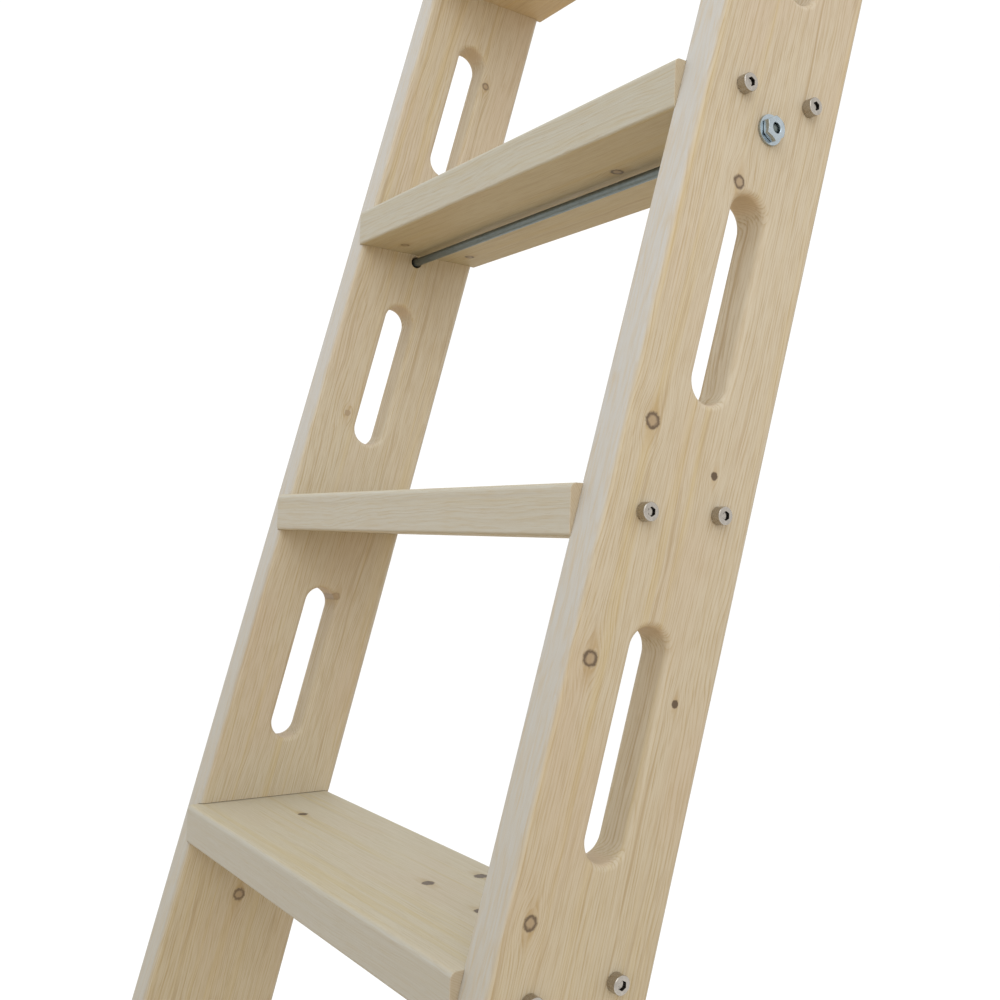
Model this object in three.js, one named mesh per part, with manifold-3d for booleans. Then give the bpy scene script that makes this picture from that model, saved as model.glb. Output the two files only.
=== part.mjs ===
// Leaning library ladder: two slotted pine stiles, seven housed treads held by cap screws,
// two tie rods, rubber feet and flat-bar hooks that hang over a rail.
// Millimetres, +Z up, +X to the user's right, the user climbs facing +Y.

import * as THREE from 'three';
import * as BufferGeometryUtils from 'three/addons/utils/BufferGeometryUtils.js';
import Module from 'manifold-3d';

// ---------------------------------------------------------------- driving dimensions

const LEAN = THREE.MathUtils.degToRad(14.4);
const CLEARANCE = 0.3;

const STILE_WIDTH = 130;
const STILE_THICKNESS = 31.5;
const STILE_EDGE_RADIUS = 5;
const STILE_TOP_CORNER_RADIUS = 24;
const STILE_ABOVE_TOP_TREAD = 190;
const CLEAR_WIDTH = 496;

const TREAD_COUNT = 7;
const RISE = 302.5;
const TREAD_DEPTH = 140;
const TREAD_THICKNESS = 35.5;
const TREAD_OVERHANG = 9.8;
const TREAD_FRONT_RADIUS = 5;
const TREAD_REAR_RADIUS = 1.2;
const HOUSING_DEPTH = 4;
const HOUSING_PLAY = 0.5;

const SLOT_LENGTH = 155;
const SLOT_WIDTH = 32;
const FIRST_SLOTTED_TREAD = 3;

const CAP_SCREW = { head: 13, headHeight: 8, shank: 8, length: 60, key: 6, keyDepth: 4, hole: 9 };
const CAP_SCREW_SPACING = 66;

const ROD = { diameter: 8, hole: 12, below: 8, inset: 1.5, chamfer: 0.8 };
const ROD_TREADS = { lower: 2, upper: 5 };
const WASHER = { outer: 22, inner: 9, thickness: 2 };
const NUT = { key: 16, height: 5.5, bore: 9 };

const PAD_THICKNESS = 6;
const PAD_CORNER_RADIUS = 4;
const FOOT_SCREW = { head: 9, headHeight: 2.6, shank: 4.5, length: 27, hole: 5.4, recess: 3.6 };
const FOOT_SCREW_INSET = 32;

const HOOK = { width: 25, thickness: 5, railRadius: 15, play: 1, above: 22, below: 150, tip: 30 };
const HOOK_SCREW = { head: 12, headHeight: 3.5, shank: 6, length: 45, hole: 7 };
const HOOK_SCREW_INSETS = { upper: 22, lower: 108 };

const ARC_STEPS = 2;
const BEND_STEPS = 5;
const ROUND_STEPS = 10;

// ---------------------------------------------------------------- derived places

const TAN = Math.tan(LEAN);
const SIN = Math.sin(LEAN);
const COS = Math.cos(LEAN);
const OUTER_FACE = CLEAR_WIDTH / 2 + STILE_THICKNESS;
const STILE_MIDDLE = CLEAR_WIDTH / 2 + STILE_THICKNESS / 2;
const STILE_TOP = (TREAD_COUNT * RISE + STILE_ABOVE_TOP_TREAD) / COS;
const HOUSING_FLOOR = CLEAR_WIDTH / 2 + HOUSING_DEPTH;
const SIDES = { left: -1, right: 1 };

const treadTop = (number) => number * RISE;
const treadMiddle = (number) => treadTop(number) - TREAD_THICKNESS / 2;
const stileFront = (z) => z * TAN;
const stileCentre = (z) => stileFront(z) + STILE_WIDTH / COS / 2;
const rodHeight = (number) => treadTop(number) - TREAD_THICKNESS - ROD.below;

// A length along the stile, for a point at height z on the stile's centre line.
const alongStile = (z) => (z + (STILE_WIDTH / 2) * SIN) / COS;

// ---------------------------------------------------------------- materials

const pine = new THREE.MeshStandardMaterial({ color: 0xdcc69c, roughness: 0.62, metalness: 0 });
const stainless = new THREE.MeshStandardMaterial({ color: 0xb9b4ab, roughness: 0.28, metalness: 1 });
const zinc = new THREE.MeshStandardMaterial({ color: 0xa9b0b2, roughness: 0.38, metalness: 1 });
const hookSteel = new THREE.MeshStandardMaterial({ color: 0x3b3d40, roughness: 0.5, metalness: 0.7 });
const rubber = new THREE.MeshStandardMaterial({ color: 0x1d1d1e, roughness: 0.85, metalness: 0 });

// ---------------------------------------------------------------- solids

const wasm = await Module();
wasm.setup();

function solidOf(geometry) {
  const bare = geometry.clone();
  bare.deleteAttribute('normal');
  bare.deleteAttribute('uv');
  const merged = BufferGeometryUtils.mergeVertices(bare, 1e-4);
  const mesh = new wasm.Mesh({
    numProp: 3,
    vertProperties: Float32Array.from(merged.attributes.position.array),
    triVerts: Uint32Array.from(merged.index.array),
  });
  return new wasm.Manifold(mesh);
}

function geometryOf(solid) {
  const mesh = solid.getMesh();
  const geometry = new THREE.BufferGeometry();
  geometry.setAttribute('position', new THREE.BufferAttribute(mesh.vertProperties, 3));
  geometry.setIndex(new THREE.BufferAttribute(mesh.triVerts, 1));
  geometry.computeVertexNormals();
  return geometry;
}

function cut(geometry, cutters) {
  let solid = solidOf(geometry);
  for (const cutter of cutters) {
    solid = solid.subtract(solidOf(cutter));
  }
  return geometryOf(solid);
}

// A closed solid of revolution about X, from points (distance along +X, radius).
function turned(points, steps = ROUND_STEPS) {
  const profile = points.map(([along, radius]) => new THREE.Vector2(radius, along));
  const geometry = new THREE.LatheGeometry(profile, steps);
  geometry.rotateZ(-Math.PI / 2);
  return geometry;
}

// A round bar along +X that starts at the origin.
function bar(diameter, length, steps = ROUND_STEPS) {
  const radius = diameter / 2;
  return turned([[0, 0], [0, radius], [length, radius], [length, 0]], steps);
}

// A prism along +X with a regular hexagon section, from its width across the flats.
function hexBar(acrossFlats, length) {
  return bar(acrossFlats / Math.cos(Math.PI / 6), length, 6);
}

// ---------------------------------------------------------------- stiles

function slotPath(centreAlong) {
  const radius = SLOT_WIDTH / 2;
  const half = SLOT_LENGTH / 2 - radius;
  const path = new THREE.Path();
  path.absarc(STILE_WIDTH / 2, centreAlong + half, radius, 0, Math.PI, false);
  path.absarc(STILE_WIDTH / 2, centreAlong - half, radius, Math.PI, 2 * Math.PI, false);
  return path;
}

// The side view of a stile, x across its width from the front edge and y along its length.
// A hand slot lies between each pair of treads from the first slotted tread up.
function stileProfile() {
  const corner = STILE_TOP_CORNER_RADIUS;
  const start = -40;
  const shape = new THREE.Shape();
  shape.moveTo(0, start);
  shape.lineTo(STILE_WIDTH, start);
  shape.absarc(STILE_WIDTH - corner, STILE_TOP - corner, corner, 0, Math.PI / 2, false);
  shape.absarc(corner, STILE_TOP - corner, corner, Math.PI / 2, Math.PI, false);
  for (let number = FIRST_SLOTTED_TREAD; number < TREAD_COUNT; number++) {
    const middle = (treadMiddle(number) + treadMiddle(number + 1)) / 2;
    shape.holes.push(slotPath(alongStile(middle)));
  }
  return shape;
}

// The blank has rounded long edges and rounded slot rims on both faces.
function stileBlank(side) {
  const geometry = new THREE.ExtrudeGeometry(stileProfile(), {
    depth: STILE_THICKNESS - 2 * STILE_EDGE_RADIUS,
    curveSegments: BEND_STEPS,
    bevelEnabled: true,
    bevelThickness: STILE_EDGE_RADIUS,
    bevelSize: STILE_EDGE_RADIUS,
    bevelOffset: -STILE_EDGE_RADIUS,
    bevelSegments: 2,
  });
  geometry.translate(0, 0, STILE_EDGE_RADIUS - STILE_THICKNESS / 2);
  geometry.rotateX(Math.PI / 2);
  geometry.rotateZ(Math.PI / 2);
  geometry.translate(side * STILE_MIDDLE, 0, 0);
  return geometry;
}

function housingCutter(side, number) {
  const box = new THREE.BoxGeometry(2 * HOUSING_DEPTH, 2 * STILE_WIDTH, TREAD_THICKNESS + 2 * HOUSING_PLAY);
  box.translate(side * (CLEAR_WIDTH / 2), stileCentre(treadMiddle(number)), treadMiddle(number));
  return box;
}

function holeAcross(side, diameter, y, z) {
  const hole = bar(diameter, STILE_THICKNESS + 10);
  hole.translate(CLEAR_WIDTH / 2 - 5, y, z);
  if (side < 0) {
    hole.rotateZ(Math.PI);
    hole.translate(0, 2 * y, 0);
  }
  return hole;
}

function stileCutters(side) {
  const cutters = [];
  const floorBox = new THREE.BoxGeometry(200, 400, 200);
  floorBox.translate(side * STILE_MIDDLE, 0, PAD_THICKNESS + CLEARANCE - 100);
  cutters.push(floorBox);
  for (let number = 1; number <= TREAD_COUNT; number++) {
    cutters.push(housingCutter(side, number));
    for (const y of screwDepths(number)) {
      cutters.push(holeAcross(side, CAP_SCREW.hole, y, treadMiddle(number)));
    }
  }
  for (const number of Object.values(ROD_TREADS)) {
    const z = rodHeight(number);
    cutters.push(holeAcross(side, ROD.hole, stileCentre(z), z));
  }
  for (const y of footScrewDepths()) {
    const pilot = bar(FOOT_SCREW.hole, FOOT_SCREW.recess + FOOT_SCREW.length + 2);
    pilot.rotateY(-Math.PI / 2);
    pilot.translate(side * STILE_MIDDLE, y, 0);
    cutters.push(pilot);
  }
  return cutters;
}

function hookPilots(side) {
  return Object.values(HOOK_SCREW_INSETS).map((inset) => {
    const pilot = bar(HOOK_SCREW.hole, HOOK_SCREW.length + 5);
    pilot.rotateZ(-Math.PI / 2);
    pilot.translate(side * STILE_MIDDLE, STILE_WIDTH + 10, STILE_TOP - inset);
    return pilot;
  });
}

function stile(side) {
  const levelCutters = stileCutters(side).map((cutter) => cutter.rotateX(LEAN));
  return cut(stileBlank(side), [...levelCutters, ...hookPilots(side)]);
}

// ---------------------------------------------------------------- treads

function screwDepths(number) {
  const centre = stileCentre(treadMiddle(number));
  return [centre - CAP_SCREW_SPACING / 2, centre + CAP_SCREW_SPACING / 2];
}

// The end view of a tread: rounded along the front, almost square along the rear.
function treadProfile() {
  const front = TREAD_FRONT_RADIUS;
  const rear = TREAD_REAR_RADIUS;
  const low = -TREAD_THICKNESS;
  const shape = new THREE.Shape();
  shape.absarc(front, low + front, front, Math.PI, 1.5 * Math.PI, false);
  shape.absarc(TREAD_DEPTH - rear, low + rear, rear, -Math.PI / 2, 0, false);
  shape.absarc(TREAD_DEPTH - rear, -rear, rear, 0, Math.PI / 2, false);
  shape.absarc(front, -front, front, Math.PI / 2, Math.PI, false);
  return shape;
}

function tread(number) {
  const length = 2 * (HOUSING_FLOOR - CLEARANCE);
  const geometry = new THREE.ExtrudeGeometry(treadProfile(), {
    depth: length,
    curveSegments: ARC_STEPS,
    bevelEnabled: false,
  });
  geometry.translate(0, 0, -length / 2);
  geometry.rotateX(Math.PI / 2);
  geometry.rotateZ(Math.PI / 2);
  geometry.translate(0, stileFront(treadTop(number)) - TREAD_OVERHANG, treadTop(number));
  const bores = [];
  for (const side of Object.values(SIDES)) {
    for (const y of screwDepths(number)) {
      const bore = bar(CAP_SCREW.hole, CAP_SCREW.length + 2);
      bore.translate(OUTER_FACE - CAP_SCREW.length, 0, 0);
      if (side < 0) {
        bore.rotateZ(Math.PI);
      }
      bore.translate(0, y, treadMiddle(number));
      bores.push(bore);
    }
  }
  return cut(geometry, bores);
}

// ---------------------------------------------------------------- fasteners

// A socket head cap screw along +X, its head's bearing face at x = 0 and its head beyond it.
function capScrew() {
  const { head, headHeight, shank, length, key, keyDepth } = CAP_SCREW;
  const body = turned([
    [-length, 0],
    [-length, shank / 2],
    [0, shank / 2],
    [0, head / 2],
    [headHeight - 0.8, head / 2],
    [headHeight, head / 2 - 0.8],
    [headHeight, 0],
  ]);
  const socket = hexBar(key, keyDepth + 1);
  socket.translate(headHeight - keyDepth, 0, 0);
  return cut(body, [socket]);
}

// A round-headed screw along +X, its head's bearing face at x = 0 and its head beyond it.
function roundHeadScrew({ head, headHeight, shank, length }) {
  return turned([
    [-length, 0],
    [-length + shank, shank / 2],
    [0, shank / 2],
    [0, head / 2],
    [headHeight * 0.5, head / 2],
    [headHeight, head / 3],
    [headHeight, 0],
  ]);
}

function washer() {
  const disc = bar(WASHER.outer, WASHER.thickness, 20);
  const hole = bar(WASHER.inner, WASHER.thickness + 2);
  hole.translate(-1, 0, 0);
  return cut(disc, [hole]);
}

// A hexagon nut along +X, two of its corners pointing straight up and down.
function nut() {
  const hole = bar(NUT.bore, NUT.height + 2);
  hole.translate(-1, 0, 0);
  return cut(hexBar(NUT.key, NUT.height), [hole]);
}

// A round rod whose ends stop just inside the nuts' outer faces.
function tieRod() {
  const nutSeat = OUTER_FACE + WASHER.thickness + 2 * CLEARANCE;
  const half = nutSeat + NUT.height - ROD.inset;
  const radius = ROD.diameter / 2;
  return turned([
    [-half, 0],
    [-half, radius - ROD.chamfer],
    [-half + ROD.chamfer, radius],
    [half - ROD.chamfer, radius],
    [half, radius - ROD.chamfer],
    [half, 0],
  ]);
}

// ---------------------------------------------------------------- feet

const footFront = () => stileFront(PAD_THICKNESS);
const footDepth = () => STILE_WIDTH / COS;
const footScrewDepths = () => [
  footFront() + FOOT_SCREW_INSET,
  footFront() + footDepth() - FOOT_SCREW_INSET,
];

function footPad(side) {
  const radius = PAD_CORNER_RADIUS;
  const halfWidth = STILE_THICKNESS / 2;
  const halfDepth = footDepth() / 2;
  const outline = new THREE.Shape();
  outline.absarc(halfWidth - radius, halfDepth - radius, radius, 0, Math.PI / 2, false);
  outline.absarc(radius - halfWidth, halfDepth - radius, radius, Math.PI / 2, Math.PI, false);
  outline.absarc(radius - halfWidth, radius - halfDepth, radius, Math.PI, 1.5 * Math.PI, false);
  outline.absarc(halfWidth - radius, radius - halfDepth, radius, 1.5 * Math.PI, 2 * Math.PI, false);
  const pad = new THREE.ExtrudeGeometry(outline, {
    depth: PAD_THICKNESS,
    curveSegments: ARC_STEPS,
    bevelEnabled: false,
  });
  pad.translate(side * STILE_MIDDLE, footFront() + halfDepth, 0);
  const holes = [];
  for (const y of footScrewDepths()) {
    const recess = bar(FOOT_SCREW.head + 2, FOOT_SCREW.recess + 1);
    recess.translate(-1, 0, 0);
    const through = bar(FOOT_SCREW.hole, PAD_THICKNESS + 2);
    for (const hole of [recess, through]) {
      hole.rotateY(-Math.PI / 2);
      hole.translate(side * STILE_MIDDLE, y, 0);
      holes.push(hole);
    }
  }
  return cut(pad, holes);
}

// ---------------------------------------------------------------- hooks

// The hook's side view in the stile's own plane: a strap up the rear edge, an arc over the rail
// and a tip that points straight down once the ladder leans.
function hookProfile() {
  const inner = HOOK.railRadius + HOOK.play;
  const outer = inner + HOOK.thickness;
  const front = STILE_WIDTH + CLEARANCE;
  const centreAcross = front + outer;
  const centreAlong = STILE_TOP + HOOK.above;
  const tipAcross = HOOK.tip * SIN;
  const tipAlong = -HOOK.tip * COS;
  const middle = (inner + outer) / 2;
  const shape = new THREE.Shape();
  shape.moveTo(front, STILE_TOP - HOOK.below);
  shape.lineTo(front, STILE_TOP);
  shape.absarc(centreAcross, centreAlong, outer, Math.PI, LEAN, true);
  shape.absarc(
    centreAcross + middle * COS + tipAcross,
    centreAlong + middle * SIN + tipAlong,
    HOOK.thickness / 2,
    LEAN,
    LEAN - Math.PI,
    true,
  );
  shape.absarc(centreAcross, centreAlong, inner, LEAN, Math.PI, false);
  shape.lineTo(front + HOOK.thickness, STILE_TOP - HOOK.below);
  return shape;
}

function railHook(side) {
  const geometry = new THREE.ExtrudeGeometry(hookProfile(), {
    depth: HOOK.width,
    curveSegments: BEND_STEPS,
    bevelEnabled: false,
  });
  geometry.translate(0, 0, -HOOK.width / 2);
  geometry.rotateX(Math.PI / 2);
  geometry.rotateZ(Math.PI / 2);
  geometry.translate(side * STILE_MIDDLE, 0, 0);
  return cut(geometry, hookPilots(side));
}

// ---------------------------------------------------------------- assembly

const ladder = new THREE.Group();
const leaning = new THREE.Group();
leaning.rotation.x = -LEAN;
ladder.add(leaning);

function addMesh(parent, name, geometry, material) {
  const mesh = new THREE.Mesh(geometry, material);
  mesh.name = name;
  parent.add(mesh);
  return mesh;
}

function addStilesAndHooks() {
  for (const [sideName, side] of Object.entries(SIDES)) {
    addMesh(leaning, `stile_${sideName}`, stile(side), pine);
    addMesh(leaning, `rail_hook_${sideName}`, railHook(side), hookSteel);
    for (const [place, inset] of Object.entries(HOOK_SCREW_INSETS)) {
      const name = `hook_screw_${sideName}_${place}`;
      const screw = addMesh(leaning, name, roundHeadScrew(HOOK_SCREW), stainless);
      const seat = STILE_WIDTH + HOOK.thickness + 2 * CLEARANCE;
      screw.position.set(side * STILE_MIDDLE, seat, STILE_TOP - inset);
      screw.rotation.z = Math.PI / 2;
    }
  }
}

function addTreads() {
  for (let number = 1; number <= TREAD_COUNT; number++) {
    addMesh(ladder, `tread_${number}`, tread(number), pine);
    const [front, rear] = screwDepths(number);
    for (const [sideName, side] of Object.entries(SIDES)) {
      for (const [place, y] of Object.entries({ front, rear })) {
        const name = `cap_screw_${number}_${sideName}_${place}`;
        const screw = addMesh(ladder, name, capScrew(), stainless);
        screw.position.set(side * (OUTER_FACE + CLEARANCE), y, treadMiddle(number));
        screw.rotation.z = side < 0 ? Math.PI : 0;
      }
    }
  }
}

function addTieRods() {
  for (const [level, number] of Object.entries(ROD_TREADS)) {
    const z = rodHeight(number);
    const y = stileCentre(z);
    addMesh(ladder, `tie_rod_${level}`, tieRod(), zinc).position.set(0, y, z);
    for (const [sideName, side] of Object.entries(SIDES)) {
      const washerSeat = OUTER_FACE + CLEARANCE;
      const nutSeat = washerSeat + WASHER.thickness + CLEARANCE;
      const ring = addMesh(ladder, `tie_rod_washer_${level}_${sideName}`, washer(), zinc);
      const fixing = addMesh(ladder, `tie_rod_nut_${level}_${sideName}`, nut(), zinc);
      ring.position.set(side * washerSeat, y, z);
      fixing.position.set(side * nutSeat, y, z);
      ring.rotation.z = side < 0 ? Math.PI : 0;
      fixing.rotation.z = side < 0 ? Math.PI : 0;
    }
  }
}

function addFeet() {
  const [front, rear] = footScrewDepths();
  for (const [sideName, side] of Object.entries(SIDES)) {
    addMesh(ladder, `foot_pad_${sideName}`, footPad(side), rubber);
    for (const [place, y] of Object.entries({ front, rear })) {
      const name = `foot_screw_${sideName}_${place}`;
      const screw = addMesh(ladder, name, roundHeadScrew(FOOT_SCREW), stainless);
      screw.position.set(side * STILE_MIDDLE, y, FOOT_SCREW.recess - CLEARANCE);
      screw.rotation.y = Math.PI / 2;
    }
  }
}

addStilesAndHooks();
addTreads();
addTieRods();
addFeet();

// The origin is the middle of the ladder's footprint box, at floor level.
ladder.updateMatrixWorld(true);
const extent = new THREE.Box3().setFromObject(ladder, true);
ladder.position.y = -(extent.min.y + extent.max.y) / 2;
ladder.updateMatrixWorld(true);

export default ladder;
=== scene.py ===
"""A leaning library ladder: pine stiles and treads, steel fasteners, rubber feet and rail hooks."""

import math

import bmesh
import bpy
from mathutils import Matrix, Vector
from mathutils.geometry import tessellate_polygon


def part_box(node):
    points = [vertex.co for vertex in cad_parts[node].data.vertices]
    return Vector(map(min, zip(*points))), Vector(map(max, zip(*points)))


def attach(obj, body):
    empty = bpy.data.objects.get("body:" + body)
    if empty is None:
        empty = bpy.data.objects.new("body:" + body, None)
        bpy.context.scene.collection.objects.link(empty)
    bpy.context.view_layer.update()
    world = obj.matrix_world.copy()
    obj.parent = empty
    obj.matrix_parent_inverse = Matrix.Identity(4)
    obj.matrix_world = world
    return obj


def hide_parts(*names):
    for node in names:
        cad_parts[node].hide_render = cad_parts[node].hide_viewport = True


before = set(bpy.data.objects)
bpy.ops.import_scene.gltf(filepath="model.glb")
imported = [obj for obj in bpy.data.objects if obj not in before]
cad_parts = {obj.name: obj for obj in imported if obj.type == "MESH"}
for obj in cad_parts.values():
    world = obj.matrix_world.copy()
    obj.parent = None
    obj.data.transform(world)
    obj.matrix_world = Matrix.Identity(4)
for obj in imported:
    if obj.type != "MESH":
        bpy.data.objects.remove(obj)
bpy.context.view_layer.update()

# ------------------------------------------------------------------ dimensions, in metres

MM = 0.001
LEAN = math.radians(14.4)
SIDES = {"left": -1, "right": 1}

STILE_WIDTH = 130 * MM
STILE_EDGE_RADIUS = 5 * MM
STILE_TOP_CORNER_RADIUS = 24 * MM
SLOT_LENGTH = 155 * MM
SLOT_WIDTH = 32 * MM
HOUSING_DEPTH = 4 * MM
HOUSING_PLAY_ABOVE = 0.55 * MM
HOUSING_PLAY_BELOW = 0.1 * MM

TREADS = range(1, 8)
FIRST_SLOTTED_TREAD = 3
TREAD_OVERHANG = 9.8 * MM
TREAD_FRONT_RADIUS = 4.5 * MM
TREAD_UNDER_RADIUS = 2.5 * MM
TREAD_REAR_RADIUS = 1.2 * MM
END_EASE = 0.4 * MM

SCREW_HEAD = 13 * MM
SCREW_HEAD_HEIGHT = 8 * MM
SCREW_HEAD_SHOULDER = 1.1 * MM
SCREW_KEY = 6 * MM
SOCKET_DEPTH = 3.2 * MM
# Faces nearer the screw's axis than this belong to its socket.
SOCKET_REACH = 3.6 * MM
SCREW_SHANK = 8 * MM
SCREW_HOLE = 9 * MM
THREAD_PITCH = 1.25 * MM
THREAD_DEPTH = 0.7 * MM

ROD_HOLE = 12 * MM
ROD_THREAD_LENGTH = 24 * MM
ROD_CHAMFER = 1.4 * MM
WASHER_INNER_RADIUS = 4.5 * MM
WASHER_EASE = 0.35 * MM
NUT_FLATS = 16 * MM
NUT_FACE_RADIUS = 7.75 * MM
NUT_CORNER_SLOPE = 1.7
NUT_BORE_RADIUS = 4.3 * MM
NUT_MOUTH_RADIUS = 4.2 * MM
ROD_END_RADIUS = 3.8 * MM

HOOK_WIDTH = 25 * MM
HOOK_THICKNESS = 5 * MM
HOOK_EDGE_EASE = 0.9 * MM
HOOK_BEND_INSIDE = 16 * MM
HOOK_GAP = 0.3 * MM
HOOK_RISE = 22 * MM
HOOK_STRAP = 150 * MM
HOOK_TIP = 30 * MM
HOOK_SCREW_HOLE = 7 * MM

PAD_CORNER = 4 * MM
PAD_EASE = 0.8 * MM
PAD_GROOVE_WIDTH = 2.2 * MM
PAD_GROOVE_DEPTH = 1.4 * MM
PAD_RIB_PITCH = 7 * MM
PAD_SCREW_LAND = 8.5 * MM
PAD_SCREW_SEAT = 3.6 * MM
PAD_SCREW_SEAT_RADIUS = 5.5 * MM
PAD_BORE_TOP = 8 * MM
FOOT_SCREW_HOLE = 5.4 * MM

DEPTHS = ("front", "rear")
LEVELS = ("lower", "upper")

# How far a cutter reaches past what it cuts, and past the whole ladder.
PAST_SCREW = 2 * MM
PAST_FACE = 10 * MM
PAST_BOARD = 100 * MM
PAST_LADDER = 1

ROUND = 48
FILLET_STEPS = 6
SHARP_ANGLE = math.radians(32)


# ------------------------------------------------------------------ places, from the frame

def size_of(node):
    low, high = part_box(node)
    return high - low


def middle_of(node):
    low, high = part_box(node)
    return (low + high) / 2


tread_low, tread_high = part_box("tread_1")
TREAD_DEPTH = tread_high.y - tread_low.y
TREAD_THICKNESS = tread_high.z - tread_low.z
TREAD_LENGTH = tread_high.x - tread_low.x
STILE_THICKNESS = size_of("stile_right").x
STILE_MIDDLE = middle_of("stile_right").x
OUTER_FACE = STILE_MIDDLE + STILE_THICKNESS / 2
INNER_FACE = STILE_MIDDLE - STILE_THICKNESS / 2

# The stiles' front edge crosses the floor at this depth.
FOOT_DEPTH = tread_low.y + TREAD_OVERHANG - tread_high.z * math.tan(LEAN)
ALONG = Vector((0, math.sin(LEAN), math.cos(LEAN)))
ACROSS = Vector((0, math.cos(LEAN), -math.sin(LEAN)))


def stile_frame(side):
    """Board coordinates of a stile: X along the grain, Y across the board, Z through it."""
    columns = [ALONG, ACROSS, ALONG.cross(ACROSS)]
    matrix = Matrix(columns).transposed().to_4x4()
    matrix.translation = Vector((side * STILE_MIDDLE, FOOT_DEPTH, 0))
    return matrix


def tread_frame(number):
    """Board coordinates of a tread: X along the grain, Y back from its front edge, Z up from its middle."""
    low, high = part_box(f"tread_{number}")
    return Matrix.Translation((0, low.y, (low.z + high.z) / 2))


# ------------------------------------------------------------------ node graphs

class Graph:
    """Builds a material's node tree with short calls. Values are numbers, vectors or node sockets."""

    def __init__(self, tree):
        self.tree = tree

    def node(self, kind, inputs=None, **settings):
        made = self.tree.nodes.new(kind)
        for name, value in settings.items():
            setattr(made, name, value)
        for name, value in (inputs or {}).items():
            self.feed(made.inputs[name], value)
        return made

    def feed(self, socket, value):
        if isinstance(value, bpy.types.NodeSocket):
            self.tree.links.new(value, socket)
        else:
            socket.default_value = value

    def math(self, operation, *values):
        made = self.node("ShaderNodeMath", operation=operation)
        for socket, value in zip(made.inputs, values):
            self.feed(socket, value)
        return made.outputs[0]

    def vector(self, operation, *values):
        made = self.node("ShaderNodeVectorMath", operation=operation)
        for socket, value in zip(made.inputs, values):
            self.feed(socket, value)
        return made.outputs["Value" if operation in ("LENGTH", "DOT_PRODUCT") else "Vector"]

    def split(self, vector):
        made = self.node("ShaderNodeSeparateXYZ", {"Vector": vector})
        return made.outputs[0], made.outputs[1], made.outputs[2]

    def join(self, x, y, z):
        return self.node("ShaderNodeCombineXYZ", {"X": x, "Y": y, "Z": z}).outputs[0]

    def noise(self, vector, scale, detail=2.0, roughness=0.5):
        inputs = {"Vector": vector, "Scale": scale, "Detail": detail, "Roughness": roughness}
        return self.node("ShaderNodeTexNoise", inputs)

    def ramp(self, value, low, high, to_low=0.0, to_high=1.0):
        """value taken smoothly from low..high to to_low..to_high."""
        inputs = {"Value": value, "From Min": low, "From Max": high, "To Min": to_low, "To Max": to_high}
        return self.node("ShaderNodeMapRange", inputs, interpolation_type="SMOOTHSTEP").outputs[0]

    def mix(self, factor, first, second):
        made = self.node("ShaderNodeMix", data_type="RGBA")
        self.feed(made.inputs["Factor"], factor)
        self.feed(made.inputs[6], first)
        self.feed(made.inputs[7], second)
        return made.outputs[2]


def new_material(name):
    material = bpy.data.materials.new(name)
    material.use_nodes = True
    graph = Graph(material.node_tree)
    shader = material.node_tree.nodes["Principled BSDF"]
    return material, graph, shader


def bump(graph, height, distance, strength):
    inputs = {"Height": height, "Distance": distance, "Strength": strength}
    return graph.node("ShaderNodeBump", inputs).outputs[0]


# ------------------------------------------------------------------ pine

EARLYWOOD = (0.640, 0.545, 0.395, 1)
LATEWOOD = (0.500, 0.375, 0.215, 1)
# Part sapwood, part painted light: the pale grey that the narrow edge faces get for the cooler light on
# them.
SAPWOOD_AND_PAINTED_EDGE_LIGHT = (0.490, 0.466, 0.424, 1)
HEARTWOOD = (0.610, 0.450, 0.315, 1)
END_GRAIN = (0.670, 0.530, 0.370, 1)
END_RING = (0.530, 0.380, 0.230, 1)
DARK_STREAK = (0.420, 0.290, 0.150, 1)
RESIN = (0.600, 0.430, 0.150, 1)
KNOT_HALO = (0.470, 0.320, 0.150, 1)
KNOT_CORE = (0.390, 0.275, 0.165, 1)
KNOT_BARK = (0.130, 0.085, 0.048, 1)
STILE_TONE = (0.935, 0.975, 1.045)
# Painted shade: darkens and warms the stiles' lower ends for the weaker light near the floor.
PAINTED_FOOT_SHADE = (0.870, 0.855, 0.800, 1)
PLAIN = (1, 1, 1, 1)


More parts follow.
